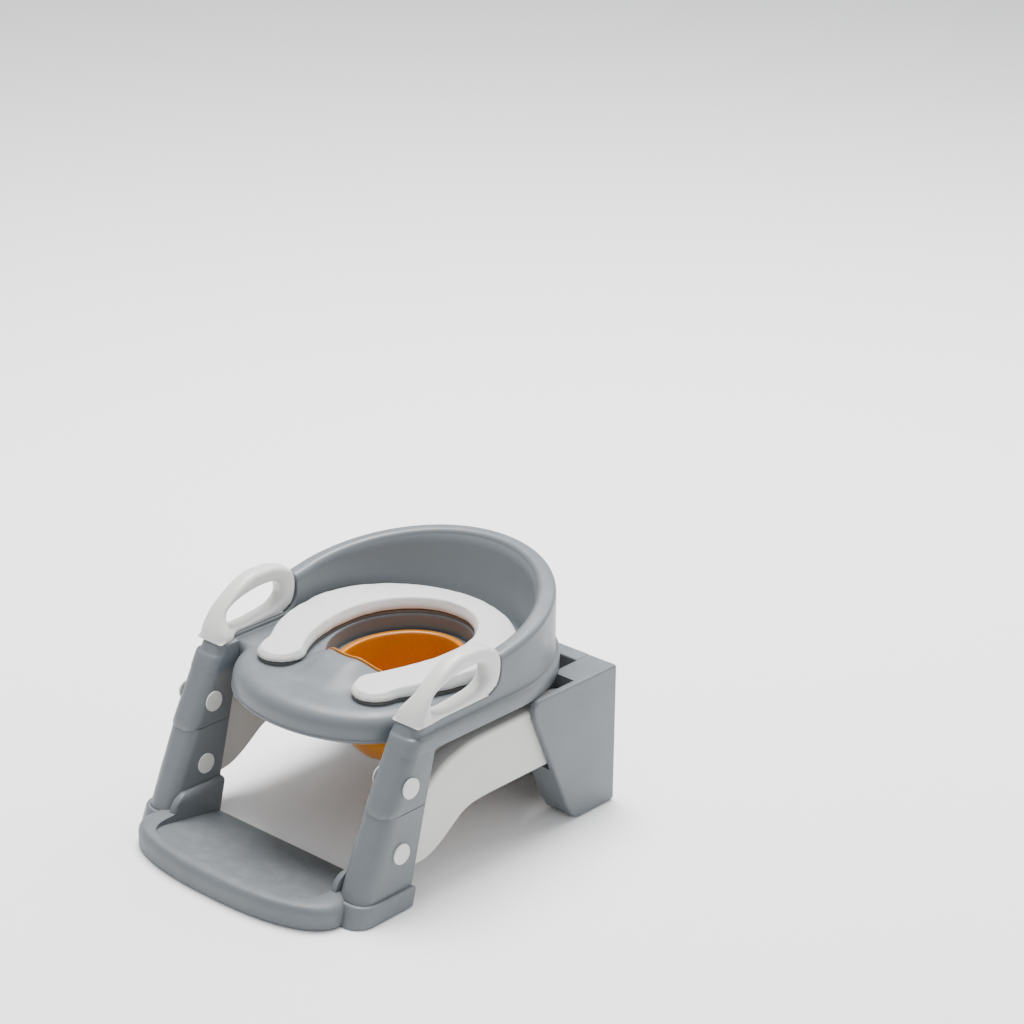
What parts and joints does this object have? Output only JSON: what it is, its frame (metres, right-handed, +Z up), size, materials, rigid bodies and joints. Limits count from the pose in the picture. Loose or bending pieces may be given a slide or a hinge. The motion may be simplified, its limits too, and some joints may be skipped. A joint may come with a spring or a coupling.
{
  "type": "potty training chair",
  "caption": "Two-in-one potty chair: padded seat with lift-out pot on step legs, and a rear stand that folds down and forward into a second toilet step.",
  "frame": {"origin": "middle of the footprint of the chair's bounding box, on the floor", "axes": "+Z up, -Y towards the front step, +X towards the seated child's left"},
  "size_m": [0.368, 0.49, 0.2812],
  "materials": {
    "grey_plastic": "satin",
    "white_plastic": "satin",
    "leg_plastic": "satin",
    "pot_plastic": "gloss",
    "cushion_skin": "satin",
    "board_plastic": "matte",
    "bush_plastic": "matte",
    "rubber": "matte",
    "steel": "zinc plated"
  },
  "bodies": {
    "seat_frame": {"seat_shell": "grey_plastic", "lower_leg_left": "grey_plastic", "lower_leg_right": "grey_plastic", "step_board": "grey_plastic", "handle_left": "white_plastic", "handle_right": "white_plastic", "handle_screws": "steel", "upper_bolt_left": "white_plastic", "upper_bolt_right": "white_plastic", "upper_nut_left": "white_plastic", "upper_nut_right": "white_plastic", "knee_bolt_left": "white_plastic", "knee_bolt_right": "white_plastic", "knee_nut_left": "white_plastic", "knee_nut_right": "white_plastic", "step_feet": "rubber"},
    "cushion": {"cushion": "cushion_skin", "cushion_board": "board_plastic"},
    "pot": {"potty": "pot_plastic"},
    "folding_legs": {"folding_leg_left": "leg_plastic", "folding_leg_right": "leg_plastic", "knee_bush_left": "bush_plastic", "knee_bush_right": "bush_plastic", "ankle_pin_left": "steel", "ankle_pin_right": "steel"},
    "rear_stand": {"stand": "grey_plastic", "foot_strips": "rubber", "stand_pads": "rubber"}
  },
  "joints": [
    {"name": "knee", "type": "hinge", "parent": "seat_frame", "child": "folding_legs", "pos_m": [0, -0.121, 0.069], "axis": [1, 0, 0], "range_deg": [-135, 0]},
    {"name": "ankle", "type": "hinge", "parent": "folding_legs", "child": "rear_stand", "pos_m": [0, 0.146, 0.121], "axis": [1, 0, 0], "range_deg": [0, 45]},
    {"name": "pot_lift", "type": "slide", "parent": "seat_frame", "child": "pot", "axis": [0, 0, 1], "range_m": [0, 0.15]},
    {"name": "cushion_lift", "type": "slide", "parent": "seat_frame", "child": "cushion", "axis": [0, 0, 1], "range_m": [0, 0.1]}
  ],
  "couplings": [
    {"joint": "ankle", "follows": "knee", "ratio": -0.33333}
  ]
}
